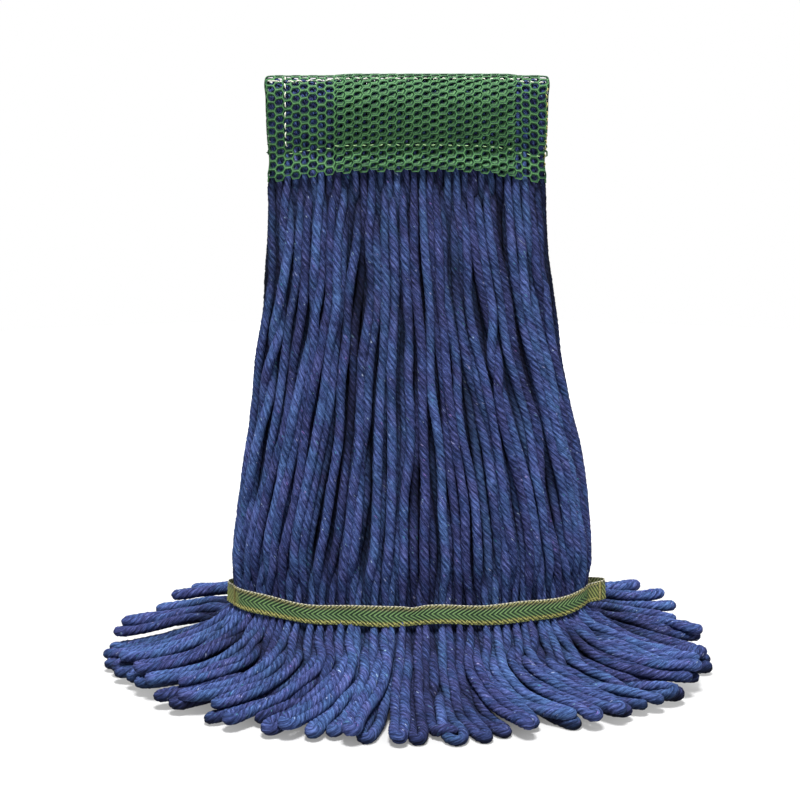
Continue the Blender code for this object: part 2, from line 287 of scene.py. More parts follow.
def add_tubes(name, paths, radii, profile, lay, shift=0.0, extra=(), depths=None, rough=0.0):
    """Closed tubes along the paths as one mesh. fiber holds each point's distance along its
    path and its place in the untwisted section, in millimetres, and relief its section radius."""
    count = len(profile)
    lengths = path_lengths(paths)
    turns = -2 * np.pi * lengths / lay
    rings = tube_points(paths, radii, profile, turns)
    if rough:
        uneven = np.random.default_rng(SEED).normal(0, rough, (*rings.shape[:3], 1))
        rings += (rings - paths[:, :, None]) * uneven
    tubes, rows = paths.shape[:2]
    size = rows * count + 2
    points = np.concatenate((rings.reshape(tubes, -1, 3), paths[:, :1], paths[:, -1:]), 1)
    angle = np.arange(count) * 2 * np.pi / count
    along = np.repeat(lengths + shift, count, axis=1) / MM
    width = np.repeat(radii, count, axis=1) * np.tile(profile, rows) / MM
    fiber = np.stack((along, width * np.tile(np.cos(angle), rows), width * np.tile(np.sin(angle), rows)), -1)
    ends = np.zeros((tubes, 2, 3))
    ends[:, :, 0] = lengths[:, [0, -1]] / MM
    fiber = np.concatenate((fiber, ends), 1).reshape(-1, 3)
    # relief is 0 in the grooves between plies and 1 on their crests; the yarn material paints shade and light
    # by it.
    relief = np.tile((profile - profile.min()) / max(np.ptp(profile), 1e-9), rows)
    relief = np.tile(np.concatenate((relief, (0, 0))), tubes)
    quads, caps = ring_faces(rows, count, 0)
    starts = (np.arange(tubes) * size)[:, None, None]
    faces = ((quads + starts).reshape(-1, 4), (caps + starts).reshape(-1, 3))
    attributes = [("fiber", fiber), ("relief", relief)]
    for key, values in extra:
        spread = np.repeat(values, count, axis=1)
        attributes.append((key, np.concatenate((spread, values[:, [0, -1]]), 1).ravel()))
    # depth: millimetres below the yarn's surface, which the yarn material turns into painted shade and light.
    if depths is not None:
        rise = ((rings - paths[:, :, None]) * depths[:, :, None, :3]).sum(-1)
        below = (depths[..., 3:] - rise).reshape(tubes, -1)
        below = np.concatenate((below, depths[:, [0, -1], 3]), 1)
        attributes.append(("depth", below.ravel() / MM))
    return add_mesh(name, points.reshape(-1, 3), faces, attributes)


def fit(piece, material, body, node, slot):
    """Gives a piece its material, and lets it ride on a body in place of a CAD node; slot is not used."""
    piece.data.materials.append(material)
    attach(piece, body)
    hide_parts(node)


class Finish:
    """A Principled material, and the nodes that feed it."""

    def __init__(self, name, color, roughness, specular=0.5):
        self.material = bpy.data.materials.new(name)
        self.material.use_nodes = True
        self.tree = self.material.node_tree
        self.shader = self.tree.nodes["Principled BSDF"]
        self.feed(self.shader, "Base Color", (*color, 1))
        self.feed(self.shader, "Roughness", roughness)
        self.feed(self.shader, "Specular IOR Level", specular)

    def feed(self, node, key, value):
        """Sets a node's input to a value, or to the socket that it comes from."""
        if isinstance(value, bpy.types.NodeSocket):
            self.tree.links.new(value, node.inputs[key])
        else:
            node.inputs[key].default_value = value

    def add(self, kind, inputs=(), **settings):
        node = self.tree.nodes.new(kind)
        for key, value in settings.items():
            setattr(node, key, value)
        for key, value in inputs:
            self.feed(node, key, value)
        return node

    def attribute(self, key, output="Fac"):
        return self.add("ShaderNodeAttribute", attribute_name=key).outputs[output]

    def noise(self, vector, scales, detail=2.0):
        """Noise over the vector, stretched by its three scales."""
        inputs = ((0, vector), (1, scales))
        place = self.add("ShaderNodeVectorMath", inputs, operation="MULTIPLY").outputs[0]
        inputs = (("Vector", place), ("Scale", 1.0), ("Detail", detail))
        return self.add("ShaderNodeTexNoise", inputs).outputs["Fac"]

    def weighted_sum(self, terms, start=0.0):
        """start plus each socket times its weight."""
        total = start
        for socket, weight in terms:
            inputs = ((0, socket), (1, weight), (2, total))
            total = self.add("ShaderNodeMath", inputs, operation="MULTIPLY_ADD").outputs[0]
        return total

    def ramp(self, factor, stops):
        """A color ramp; stops are (place, (r, g, b)) or (place, gray)."""
        node = self.add("ShaderNodeValToRGB", (("Fac", factor),))
        elements = node.color_ramp.elements
        while len(elements) < len(stops):
            elements.new(0.5)
        for element, (place, color) in zip(elements, stops):
            element.position = place
            element.color = (*np.broadcast_to(color, 3), 1)
        return node.outputs["Color"]

    def mix(self, factor, first, second, mode="MIX"):
        inputs = ((0, factor), (6, first), (7, second))
        return self.add("ShaderNodeMix", inputs, data_type="RGBA", blend_type=mode).outputs[2]

    def multiply(self, first, second):
        return self.mix(1.0, first, second, "MULTIPLY")

    def bump(self, height, strength, distance):
        inputs = (("Height", height), ("Strength", strength), ("Distance", distance))
        self.feed(self.shader, "Normal", self.add("ShaderNodeBump", inputs).outputs[0])


YARN_DARK = (0.005, 0.008, 0.027)
YARN_BLUE = (0.019, 0.029, 0.092)
YARN_PALE = (0.066, 0.098, 0.250)
YARN_HUES = ((0.32, (1.16, 0.93, 0.93)), (0.50, (1.0, 1.0, 1.0)), (0.70, (0.86, 1.08, 0.97)))
YARN_STRAYS = ((0.4, (0.03, 0.15, 0.18)), (0.5, (0.26, 0.32, 0.42)), (0.6, (0.12, 0.07, 0.22)))
# Depths in millimetres below the yarn's surface over which its painted shade runs from lightest to darkest.
HIGHEST = -3.0
DEEPEST = 10.0
NET_GREENS = ((0.004, 0.022, 0.012), (0.014, 0.058, 0.022), (0.074, 0.190, 0.066))
# The inner net's greens: the same net as the outer one, made darker as painted shade.
NET_SHADED_GREENS = ((0.004, 0.018, 0.010), (0.012, 0.045, 0.020), (0.03, 0.09, 0.035))
TAPE_GREEN = (0.13, 0.19, 0.09)
# Painted shade and light by depth: lighter than the yarn's colour at its surface, darker deep inside.
YARN_DEPTH_SHADES = ((0.0, 1.6), (0.23, 1.25), (0.354, 1.0), (0.49, 0.52), (0.66, 0.26), (1.0, 0.11))


def yarn_material():
    """Matte spun cotton: streaks along the plies, painted shade in the grooves between them and deep
    in the yarn, painted light on its outermost strands, and stray flecks."""
    yarn = Finish("yarn_blue", YARN_BLUE, 0.95, 0.1)
    fiber = yarn.attribute("fiber", "Vector")
    relief, tint, depth = (yarn.attribute(key) for key in ("relief", "tint", "depth"))
    streak = yarn.noise(fiber, (0.3, 1.3, 1.3), 4.0)
    cloud = yarn.noise(fiber, (0.05, 0.1, 0.1), 1.0)
    wisps = yarn.noise(fiber, (1.1, 3.4, 3.4), 3.0)
    # The relief term paints light on the plies' crests.
    terms = ((streak, 1.35), (cloud, 0.35), (relief, 0.16), (tint, 0.22), (wisps, 0.9))
    shade = yarn.weighted_sum(terms, -0.95)
    color = yarn.ramp(shade, ((0.12, YARN_DARK), (0.45, YARN_BLUE), (0.86, YARN_PALE)))
    drift = yarn.noise(fiber, (0.045, 0.1, 0.1), 1.0)
    hue = yarn.weighted_sum(((drift, 1.0), (tint, 0.3)))
    color = yarn.multiply(color, yarn.ramp(hue, YARN_HUES))
    # Painted shade in the grooves between the plies, by relief.
    color = yarn.multiply(color, yarn.weighted_sum(((relief, 0.25),), 0.77))
    stray = yarn.ramp(yarn.noise(fiber, (0.02, 0.05, 0.05), 0.0), YARN_STRAYS)
    fleck = yarn.noise(fiber, (0.45, 0.9, 0.9), 0.0)
    color = yarn.mix(yarn.ramp(fleck, ((0.79, 0.0), (0.83, 0.7))), color, stray)
    # Painted shade by depth: darker deep in the bundles and between strands, lighter on the outermost
    # strands.
    span = DEEPEST - HIGHEST
    sunk = yarn.weighted_sum(((depth, 1 / span),), -HIGHEST / span)
    color = yarn.multiply(color, yarn.ramp(sunk, YARN_DEPTH_SHADES))
    yarn.feed(yarn.shader, "Base Color", color)
    fuzz = yarn.noise(fiber, (0.9, 4.0, 4.0), 3.0)
    yarn.bump(yarn.weighted_sum(((streak, 0.7), (fuzz, 1.0))), 0.7, 0.5 * MM)
    return yarn.material


def net_material(name, dark, middle, pale):
    """Knitted plastic-coated thread: small loops along each wall, painted light on the crests, painted shade
    at the holes.
    """
    net = Finish(name, middle, 0.6, 0.15)
    cloth = net.attribute("cloth", "Vector")
    loops = net.noise(cloth, (1.6, 1.1, 1.0))
    cloud = net.noise(cloth, (0.08, 0.08, 0.1), 1.0)
    # relief carries the painted shade: light along the wall crests, dark towards the holes.
    terms = ((net.attribute("relief"), 0.6), (loops, 0.5), (cloud, 0.3))
    color = net.ramp(net.weighted_sum(terms, -0.25), ((0.1, dark), (0.4, middle), (0.8, pale)))
    net.feed(net.shader, "Base Color", color)
    net.bump(net.noise(cloth, (4.0, 4.0, 4.0)), 0.5, 0.25 * MM)
    return net.material


def thread_material(name, dark, pale):
    """Plied sewing thread."""
    thread = Finish(name, pale, 0.55)
    plies = thread.noise(thread.attribute("fiber", "Vector"), (1.2, 3.0, 3.0))
    thread.feed(thread.shader, "Base Color", thread.ramp(plies, ((0.3, dark), (0.6, pale))))
    thread.bump(plies, 0.4, 0.15 * MM)
    return thread.material


def tape_material():
    """Woven tape, its yarn colors carried by the mesh's points."""
    tape = Finish("tape_woven", TAPE_GREEN, 0.7)
    woven = tape.attribute("woven", "Color")
    grain = tape.noise(tape.attribute("cloth", "Vector"), (1.5, 3.0, 1.0), 3.0)
    worn = tape.ramp(grain, ((0.3, 0.6), (0.7, 1.25)))
    tape.feed(tape.shader, "Base Color", tape.multiply(woven, worn))
    tape.bump(grain, 0.4, 0.2 * MM)
    return tape.material


# ---------------------------------------------------------------- yarn

LOOPS = 48
LEGS = 2 * LOOPS
LOOPS_PER_BUNDLE = LOOPS // BUNDLES
CUT_STEP = 1.0
SEAM_STEP = 1.62
BAND_LOWER = 1.9
PINCH_TOP = 3.05
PINCH_BOTTOM = 3.2
TAPE_RISE = 0.042
ACROSS_SPREAD = 0.985
PARTICLES = 90
PARTS = 4
LAY = 21 * MM
PLIES = 5
PLY_PROFILE = np.tile((0.925, 0.98, 1.0, 0.98), PLIES)
ROUGHNESS = 0.04
RIM_STEP_LENGTH = 0.11
LAYER_WIDTH = 0.25
LOOP_GAP = 5.2 * MM
LOOP_WIDTHS = (5.3, 7.6)
TIP_STEP = 4.05
SHORTER = 0.03
MUCH_SHORTER = 0.1
MUCH_SHORTER_CHANCE = 0.12
RIM_DENTS = (
    # across, spread, steps
    (-0.72, 0.2, 0.09),
    (0.8, 0.15, 0.04),
)
PILE_CHANCES = (0.5, 0.32, 0.18)
PILE_HEAPS = np.array((0.7, 1.0, 1.15))
PILE_LEVELS = np.array((-1.2, 2.4, 6.0)) * MM
SIDE_HEAPS = (9 * MM, 19 * MM)
HEAP_SHORTENS = 0.0055 / MM
HEAP_SHORTENS_RIGHT = 0.2
TAIL_SWEEP = 0.26
TAIL_DRIFT = 0.9 * MM
CURTAIN_LAYER = 4.6 * MM
SEWN_ROW = 1.7 * MM
TAPE_DIP = 2.1 * MM
CURL = (3.2 * MM, 3.0 * MM)
# How far the yarn's surface lies out from the layer's middle; the depth for the yarn's painted shade is
# measured from it.
SURFACE_STEPS = (1.0, 1.78, 1.95, 2.3, 2.9, 3.05, 3.2, 3.45, 3.8)
SURFACE = np.array((1.8, 1.8, 6.4, 8.5, 3.8, 2.6, 2.4, 1.7, 1.5)) * MM
CLUMPS = (
    # cycles over half the width, size in millimetres
    (3.1, 1.2),
    (5.7, 1.2),
    (9.1, 0.9),
    (13.4, 0.7),
)


def strand_radius(step):
    """The strands are pressed thin under the headband and the tapes, and fluff out as tails."""
    steps = (1.0, 1.4, 1.52, 1.74, 1.9, 2.15, 2.93, PINCH_TOP, PINCH_BOTTOM, 3.29, 3.7)
    radii = np.array((1.95, 1.95, 1.6, 1.6, 1.9, 2.75, 2.85, 2.05, 2.05, 2.8, 3.1)) * MM
    return np.interp(step, steps, radii)


def sum_of_waves(rng, legs, lengths, waves, shortest, longest):
    """Smooth noise along each strand, about 1 at its most."""
    total = np.zeros_like(lengths)
    for _ in range(waves):
        wave = rng.uniform(shortest, longest, legs)[:, None]
        phase = rng.uniform(0, 2 * np.pi, legs)[:, None]
        total += np.sin(2 * np.pi * lengths / wave + phase) / waves
    return total


def clump_shift(rng, across, lengths):
    """A sideways shift shared by neighbors, so that strands gather and leave dark gaps."""
    total = np.zeros_like(lengths)
    for cycles, size in CLUMPS:
        phase = rng.uniform(0, 2 * np.pi)
        drift = rng.uniform(0.10, 0.22)
        swing = rng.uniform(0.8, 1.8)
        wander = swing * np.sin(2 * np.pi * lengths / drift + phase * 2)
        total += size * MM * np.sin(np.pi * cycles * across + phase + wander)
    return total


def per_loop(rng_values):
    """One value for each loop, as a column for its two legs."""
    return np.repeat(rng_values, 2)[:, None]


class Legs:
    """What is drawn for each loop of one half, as columns with a row for each leg."""

    def __init__(self, rng, side_heap):
        number = np.arange(LEGS)
        self.row = (number % 3 - 1.0)[:, None]
        self.across = ((number + 0.5) / LOOPS - 1)[:, None] * ACROSS_SPREAD
        self.hand = np.where(number % 2, 1.0, -1.0)[:, None]
        middle = per_loop((np.arange(LOOPS) + 0.5) * 2 / LOOPS - 1) * ACROSS_SPREAD
        self.middle = middle
        self.flip = per_loop(rng.choice((-1.0, 1.0), LOOPS))
        self.width = per_loop(rng.uniform(*LOOP_WIDTHS, LOOPS) * MM)
        short = np.abs(rng.normal(0, SHORTER, LOOPS))
        short = short + np.where(rng.random(LOOPS) < MUCH_SHORTER_CHANCE, MUCH_SHORTER, 0)
        end = per_loop(TIP_STEP - short) - self.width / 2 / RIM_STEP_LENGTH
        for place, spread, size in RIM_DENTS:
            end = end - size * np.exp(-((middle - place) / spread) ** 2)
        self.drift = per_loop(rng.normal(0, TAIL_DRIFT, LOOPS)) / LAYER_WIDTH
        pile = rng.choice(3, LOOPS, p=PILE_CHANCES)
        beside = smoothstep(0.2, 0.6, np.abs(middle))
        heap = side_heap * beside * (1 - 0.5 * smoothstep(0.7, 1.0, np.abs(middle)))
        self.heap = heap * per_loop(PILE_HEAPS[pile])
        self.end = end - HEAP_SHORTENS * self.heap * np.where(middle < 0, 1.0, HEAP_SHORTENS_RIGHT)
        self.level = per_loop(PILE_LEVELS[pile]) * (1 - 0.4 * beside) + self.heap


def leg_offsets(rng, legs, step, even):
    """How far each leg lies out from the layer's middle: three rows in the headband, three deep in
    the curtain, two between the tapes and piled as tails."""
    order = rng.permuted(np.tile((1.0, 0.0, -1.0), (LEGS // 3, 1)), axis=1).reshape(LEGS, 1)
    sewn = np.exp(-((step - SEAM_STEP) / 0.2) ** 2)
    band = legs.row * (half_thickness(legs.across, step) - strand_radius(even)) * (1 - 0.7 * sewn)
    curtain = order * CURTAIN_LAYER + rng.normal(0, 0.9, (LEGS, 1)) * MM
    tail = legs.level * np.interp(step, (3.2, 3.45, 3.9), (0.25, 0.7, 1.0))
    offset = band + (curtain - band) * smoothstep(1.9, 2.2, step)
    offset = offset + (legs.hand * legs.flip * SEWN_ROW - offset) * smoothstep(2.86, PINCH_TOP, even)
    offset = offset + (tail - offset) * smoothstep(3.25, 3.48, even)
    return offset - TAPE_DIP * smoothstep(3.15, 3.21, even) * (1 - smoothstep(3.27, 3.4, even))


def spread_legs(legs, step):
    """Points on the layer, and its sideways and outward directions: even down to the tapes, and
    then the two legs of each loop side by side."""
    sideways, outward = layer_axes(legs.across, step)
    own = layer_point(legs.across, step)
    spread = smoothstep(PINCH_BOTTOM, 3.5, step)[..., None]
    shared = legs.middle + legs.drift * smoothstep(PINCH_BOTTOM, 3.9, step)
    sweep = smoothstep(PINCH_BOTTOM, 3.4, step) * (1 - smoothstep(3.45, 3.95, step))
    shared = shared - TAIL_SWEEP * sweep * legs.middle * (1 - legs.middle**2)
    shared = np.clip(shared, -1.0, 1.0)
    beside, above = layer_axes(shared, step)
    gap = LOOP_GAP + (legs.width - LOOP_GAP) * smoothstep(3.6, 3.95, step)
    paired = layer_point(shared, step) + beside * (legs.hand * gap / 2)[..., None]
    points = own + (paired - own) * spread
    return points, unit(sideways + (beside - sideways) * spread), unit(outward + (above - outward) * spread)


def leg_waves(rng, legs, step, even, lengths):
    """How far each leg strays sideways and outward where nothing holds it."""
    free = smoothstep(1.9, 2.3, step) * (1 - smoothstep(2.86, PINCH_TOP, even))
    loose = smoothstep(3.25, 3.55, step)
    shift = free * clump_shift(rng, legs.across, lengths)
    shift += free * 1.5 * MM * sum_of_waves(rng, LEGS, lengths, 2, 0.06, 0.14)
    pair_wave = np.repeat(sum_of_waves(rng, LOOPS, lengths[::2], 2, 0.05, 0.12), 2, axis=0)
    shift += loose * 0.9 * clump_shift(rng, legs.middle, lengths)
    shift += loose * 1.2 * MM * pair_wave
    curl = per_loop(rng.normal(0, CURL[0], LOOPS)) + CURL[1] * np.sign(legs.middle)
    shift += curl * smoothstep(legs.end - 0.22, legs.end, step)
    shift += loose * 0.9 * MM * sum_of_waves(rng, LEGS, lengths, 2, 0.03, 0.06)
    bulge = free * 1.8 * MM * sum_of_waves(rng, LEGS, lengths, 2, 0.05, 0.11)
    bulge += loose * 1.2 * MM * sum_of_waves(rng, LEGS, lengths, 2, 0.05, 0.11)
    return shift, bulge


def leg_paths(rng, side_heap):
    """Centre lines of all the legs of one half, in the front half's place. Each point's channels
    are x, y, z, the step counted so that the tape lies between the same steps all the way across,
    the outward direction and the depth below the yarn's surface."""
    legs = Legs(rng, side_heap)
    hanging = np.linspace(CUT_STEP, PINCH_BOTTOM, 110)[None] + 0 * legs.across
    share = np.linspace(0, 1, 60)[None, 1:]
    step = np.concatenate((hanging, PINCH_BOTTOM + (legs.end - PINCH_BOTTOM) * share), 1)
    even = step + TAPE_RISE * legs.across**2 * (1 - smoothstep(PINCH_BOTTOM, 3.6, step))
    offset = leg_offsets(rng, legs, step, even)
    points, sideways, outward = spread_legs(legs, step)
    points = points + outward * offset[..., None]
    shift, bulge = leg_waves(rng, legs, step, even, path_lengths(points))
    points = points + sideways * shift[..., None] + outward * bulge[..., None]
    surface = np.interp(even, SURFACE_STEPS, SURFACE)
    surface = surface + 0.8 * legs.heap * smoothstep(PINCH_BOTTOM, 3.45, even)
    depth = surface - offset - bulge

    turn = np.linspace(0, np.pi / 2, 14)[None, 1:]
    along = unit(points[:, -1] - points[:, -3])[:, None]
    inward = -(sideways[:, -1:] * legs.hand[..., None])
    half_width = (legs.width / 2)[..., None]
    tip = points[:, -1:] + along * half_width * np.sin(turn)[..., None]
    tip = tip + inward * half_width * (1 - np.cos(turn))[..., None]
    points = np.concatenate((points, tip), 1)
    rest = np.concatenate((even[..., None], outward, depth[..., None]), -1)
    rest = np.concatenate((rest, rest[:, -1:] + 0 * turn[..., None]), 1)
    return even_points(np.concatenate((points, rest), -1), PARTICLES)


EVEN_STEP = 3
OUTWARD = slice(4, 7)
OUTWARD_Y = 5
DEPTH = 7


def loop_paths():
    """Both halves' loops as whole paths down one leg, round the tip and up the other."""
    loops = []
    for index, (_, half_sign) in enumerate(HALVES):
        legs = leg_paths(np.random.default_rng(SEED + index), SIDE_HEAPS[index])
        tips = (legs[0::2, -1:] + legs[1::2, -1:]) / 2
        legs[0::2, -1:] = tips
        legs[..., [1, OUTWARD_Y]] *= half_sign
        loops.append(np.concatenate((legs[0::2], legs[1::2, -2::-1]), 1))
    return np.concatenate(loops)


def near_pairs(points, cell):
    """Pairs of points no further apart than cell, found on a grid of that size."""
    grid = np.floor((points - points.min(0)) / cell).astype(np.int64) + 1
    size = grid.max(0) + 2
    key = (grid[:, 0] * size[1] + grid[:, 1]) * size[2] + grid[:, 2]
    order = np.argsort(key, kind="stable")
    ordered = key[order]
    place = np.arange(len(points))
    firsts, seconds = [], []
    for x, y, z in np.ndindex(3, 3, 3):
        move = ((x - 1) * size[1] + y - 1) * size[2] + z - 1
        if move < 0:
            continue
        low = np.searchsorted(ordered, ordered + move, "left")
        high = np.searchsorted(ordered, ordered + move, "right")
        if move == 0:
            low = place + 1
        count = np.maximum(high - low, 0)
        start = np.repeat(low - (np.cumsum(count) - count), count)
        firsts.append(order[np.repeat(place, count)])
        seconds.append(order[start + np.arange(count.sum())])
    first = np.concatenate(firsts)
    second = np.concatenate(seconds)
    near = ((points[first] - points[second]) ** 2).sum(1) < cell * cell
    return first[near], second[near]


ROUNDS = 120
EASE_ROUNDS = 2
TOUCH_REACH = 7.2 * MM
PAIRS_KEPT_FOR = 8
NEIGHBORS_APART = 3
CURTAIN_FIRMNESS = 0.86
TAIL_FIRMNESS = 0.92
PUSH = 1.4
STRETCH_FIX = 0.7
LEVELLING = 0.05
CURTAIN_HOMING = 0.03
TAIL_HOMING = 0.008
TAIL_SINKS = 0.03 * MM


def touching_pairs(points, count):
    """Pairs of points near each other, apart from neighbors along the same strand."""
    first, second = near_pairs(points, TOUCH_REACH)
    keep = (np.abs(first - second) > NEIGHBORS_APART) | (first // count != second // count)
    return first[keep], second[keep]


def relax(paths, rounds):
    """Pushes the strands apart as chains of balls, holding their lengths and the stretches
    under the headband and the tapes."""
    loops, count = paths.shape[:2]
    step = paths[..., EVEN_STEP].reshape(-1)
    tail = step > PINCH_BOTTOM
    radius = strand_radius(step) * np.where(tail, TAIL_FIRMNESS, CURTAIN_FIRMNESS)
    held = (step < BAND_LOWER) | ((step > PINCH_TOP) & (step < PINCH_BOTTOM))
    weight = np.where(held, 0.0, 1.0)
    points = paths[..., :3].reshape(-1, 3).copy()
    home = points.copy()
    links = np.linalg.norm(np.diff(paths[..., :3], axis=1), axis=-1)
    for turn in range(rounds):
        if turn % PAIRS_KEPT_FOR == 0:
            pairs = touching_pairs(points, count)
        first, second = pairs
        gap = points[first] - points[second]
        distance = np.maximum(np.linalg.norm(gap, axis=1), 1e-6)
        overlap = radius[first] + radius[second] - distance
        hit = overlap > 0
        first, second = first[hit], second[hit]
        share = weight[first] + weight[second]
        push = gap[hit] * (overlap[hit] / distance[hit] / np.maximum(share, 1))[:, None]
        moved = np.zeros_like(points)
        for axis in range(3):
            moved[:, axis] += np.bincount(first, push[:, axis], len(points))
            moved[:, axis] -= np.bincount(second, push[:, axis], len(points))
        hits = np.bincount(first, minlength=len(points)) + np.bincount(second, minlength=len(points))
        points += moved * (weight * PUSH / np.maximum(hits, PUSH))[:, None]
        chain = points.reshape(loops, count, 3)
        free = weight.reshape(loops, count, 1)
        for _ in range(2):
            ends = np.diff(chain, axis=1)
            length = np.linalg.norm(ends, axis=-1, keepdims=True)
            fix = ends * (0.5 * (1 - links[..., None] / np.maximum(length, 1e-6)))
            chain[:, :-1] += fix * free[:, :-1] * STRETCH_FIX
            chain[:, 1:] -= fix * free[:, 1:] * STRETCH_FIX
        level = (chain[:, :-2] + chain[:, 2:]) / 2
        chain[:, 1:-1] += (level - chain[:, 1:-1]) * free[:, 1:-1] * LEVELLING
        points = chain.reshape(-1, 3)
        points += (home - points) * (weight * np.where(tail, TAIL_HOMING, CURTAIN_HOMING))[:, None]
        points[:, 2] -= tail * weight * TAIL_SINKS
        points[:, 2] = np.where(tail, np.maximum(points[:, 2], radius), points[:, 2])
    return np.concatenate((points.reshape(loops, count, 3), paths[..., 3:]), -1)


def ease(paths, rounds):
    """Evens out small kinks, apart from the ends."""
    for _ in range(rounds):
        paths[:, 1:-1, :3] += 0.25 * (paths[:, :-2, :3] + paths[:, 2:, :3] - 2 * paths[:, 1:-1, :3])
    return paths


def settled_loops():
    """All the loops pushed apart, each point's depth corrected by how far it moved outward."""
    paths = loop_paths()
    first = paths[..., :3].copy()
    paths = relax(paths, ROUNDS)
    paths = ease(paths, EASE_ROUNDS)
    paths[..., DEPTH] -= ((paths[..., :3] - first) * paths[..., OUTWARD]).sum(-1)
    return curve_through(paths, PARTS)


def build_yarn(material):
    """Two dozen bundles of four loops."""
    fine = settled_loops()
    rng = np.random.default_rng(SEED + 5)
    lengths = path_lengths(fine)
    slub = 1 + 0.05 * sum_of_waves(rng, len(fine), lengths, 3, 0.008, 0.05)
    radii = strand_radius(fine[..., EVEN_STEP]) * slub * rng.uniform(0.95, 1.05, (len(fine), 1))
    tint = rng.uniform(-0.5, 0.5, (len(fine), 1)) + 0 * lengths
    shift = rng.uniform(0, 40, (len(fine), 1))
    for half_index, (half, _) in enumerate(HALVES):
        for bundle in range(BUNDLES):
            start = half_index * LOOPS + bundle * LOOPS_PER_BUNDLE
            chosen = slice(start, start + LOOPS_PER_BUNDLE)
            name = f"yarn_{half}_{bundle + 1:02d}"
            piece = add_tubes(name, fine[chosen, :, :3], radii[chosen], PLY_PROFILE, LAY, shift[chosen],
                              (("tint", tint[chosen]),), fine[chosen, :, 4:], ROUGHNESS)
            fit(piece, material, half + "_half", f"{half}_yarn_bundle_{bundle + 1:02d}", "yarn")


def build_crease_yarn(material):
    """The strands' arcs over the crease."""
    number = np.arange(LEGS)
    across = ((number + 0.5) / LOOPS - 1)[:, None] * ACROSS_SPREAD
    down = np.linspace(0, CUT_STEP + 0.06, 24)
    step = np.concatenate((down[::-1], down[1:]))[None] + 0 * across
    radius = strand_radius(step) * 0.98
    offset = (number % 3 - 1.0)[:, None] * (half_thickness(across, step) - radius)
    _, outward = layer_axes(across, step)
    points = layer_point(across, step) + outward * offset[..., None]
    points[:, len(down):, 1] *= -1
    piece = add_tubes("yarn_crease", points, radius, PLY_PROFILE, LAY, 0.0, (("tint", np.zeros(step.shape)),))
    piece.data.materials.append(material)
    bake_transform(piece)


# ---------------------------------------------------------------- headband net

PITCH_ACROSS = 4.9 * MM
PITCH_ALONG = 4.8 * MM
NET_LENGTH = 66 * MM
CELL_SIDES = 12
SURFACE_PITCH = 1.0 * MM
CLOTH_LAST_STEP = 2.35
CLOTH_EDGE = 1.0 * MM
CLOTH_FLAT_HALF = 76 * MM
CLOTH_LENGTH = 100 * MM
HOLE_ACROSS = 2.35 * MM
HOLE_ALONG = 1.68 * MM
BAND_SEAM = 52.3 * MM
BAND_SEAM_WIDTH = 8 * MM
BAND_HALF = 84 * MM
SEAM_DRAWS_IN = 2.2 * MM
HEM_FLARES = 0.9 * MM


def band_swell(across, along):
    """How far the headband stands out: drawn in at its seam, flared below it, full at the top."""
    away = np.abs(along)
    edge = smoothstep(0.92, 0.78, np.abs(across) / BAND_HALF)
    sewn = np.exp(-(((away - BAND_SEAM) / BAND_SEAM_WIDTH) ** 2)) * (0.35 + 0.65 * edge)
    flared = smoothstep(56 * MM, 64 * MM, away) + smoothstep(22 * MM, 4 * MM, away)
    return HEM_FLARES * flared - SEAM_DRAWS_IN * sewn


class Cloth:
    """A surface over the layer with even distances: across it from the middle, and along it from
    the crease, where the front half is positive."""

    def __init__(self, level, reach, inner=False, wrap=True):
        cap = np.linspace(0, np.pi / 2, 9)[1:] if wrap else np.zeros(0)
        across = np.linspace(-1, 1, 161)
        column = np.concatenate((-np.ones(len(cap)), across, np.ones(len(cap))))
        turn = np.concatenate((-cap[::-1], 0 * across, cap))
        column, step = np.meshgrid(column, np.linspace(0, CLOTH_LAST_STEP, 240))
        sideways, outward = layer_axes(column, step)
        thick = half_thickness(column, step)
        out = (-thick - level if inner else thick + level) * np.cos(turn)
        beyond = CLOTH_EDGE * np.sin(turn)
        front = layer_point(column, step) + outward * out[..., None] + sideways * beyond[..., None]
        front[..., 1] = np.minimum(front[..., 1], -CREASE_GAP)
        rear = front[:0:-1] * np.array((1, -1, 1))
        rows = np.concatenate((rear, front))
        rows[len(rear), :, 1] = 0
        self.face = -1 if inner else 1
        lengths = path_lengths(rows)
        middle = lengths.shape[1] // 2
        centred = lengths - lengths[:, middle:middle + 1]
        self.across = np.arange(-reach, reach + SURFACE_PITCH / 2, SURFACE_PITCH)
        even = np.array([[np.interp(self.across, row, line[:, axis]) for axis in range(3)]
                         for row, line in zip(centred, rows)]).transpose(2, 0, 1)
        down = path_lengths(even)
        crest = len(rear)
        down = down - down[:, crest:crest + 1]
        flat = np.abs(self.across) < CLOTH_FLAT_HALF
        down = down[np.clip(np.arange(len(down)), flat.argmax(), len(flat) - 1 - flat[::-1].argmax())]
        down = down * (1 + 0.06 * (1 - (self.across[:, None] / reach) ** 2))
        self.along = np.arange(-CLOTH_LENGTH, CLOTH_LENGTH + SURFACE_PITCH / 2, SURFACE_PITCH)
        grid = np.array([[np.interp(self.along, row, line[:, axis]) for axis in range(3)]
                         for row, line in zip(down, even)]).transpose(0, 2, 1)
        for _ in range(3):
            grid[:, 1:-1] += 0.25 * (grid[:, :-2] + grid[:, 2:] - 2 * grid[:, 1:-1])
        self.grid = grid
        self.normal = unit(np.cross(np.gradient(grid, axis=1), np.gradient(grid, axis=0)))

    def place(self, across, along, height):
        """Points at a distance across and along the cloth and a height above it."""
        column = np.clip((across - self.across[0]) / SURFACE_PITCH, 0, len(self.across) - 1.001)
        row = np.clip((along - self.along[0]) / SURFACE_PITCH, 0, len(self.along) - 1.001)
        left = column.astype(int)
        low = row.astype(int)
        u = (column - left)[..., None]
        v = (row - low)[..., None]

        def read(field):
            near = field[left, low] * (1 - v) + field[left, low + 1] * v
            far = field[left + 1, low] * (1 - v) + field[left + 1, low + 1] * v
            return near * (1 - u) + far * u

        lift = np.asarray(height) + self.face * band_swell(across, along)
        return read(self.grid) + unit(read(self.normal)) * lift[..., None]


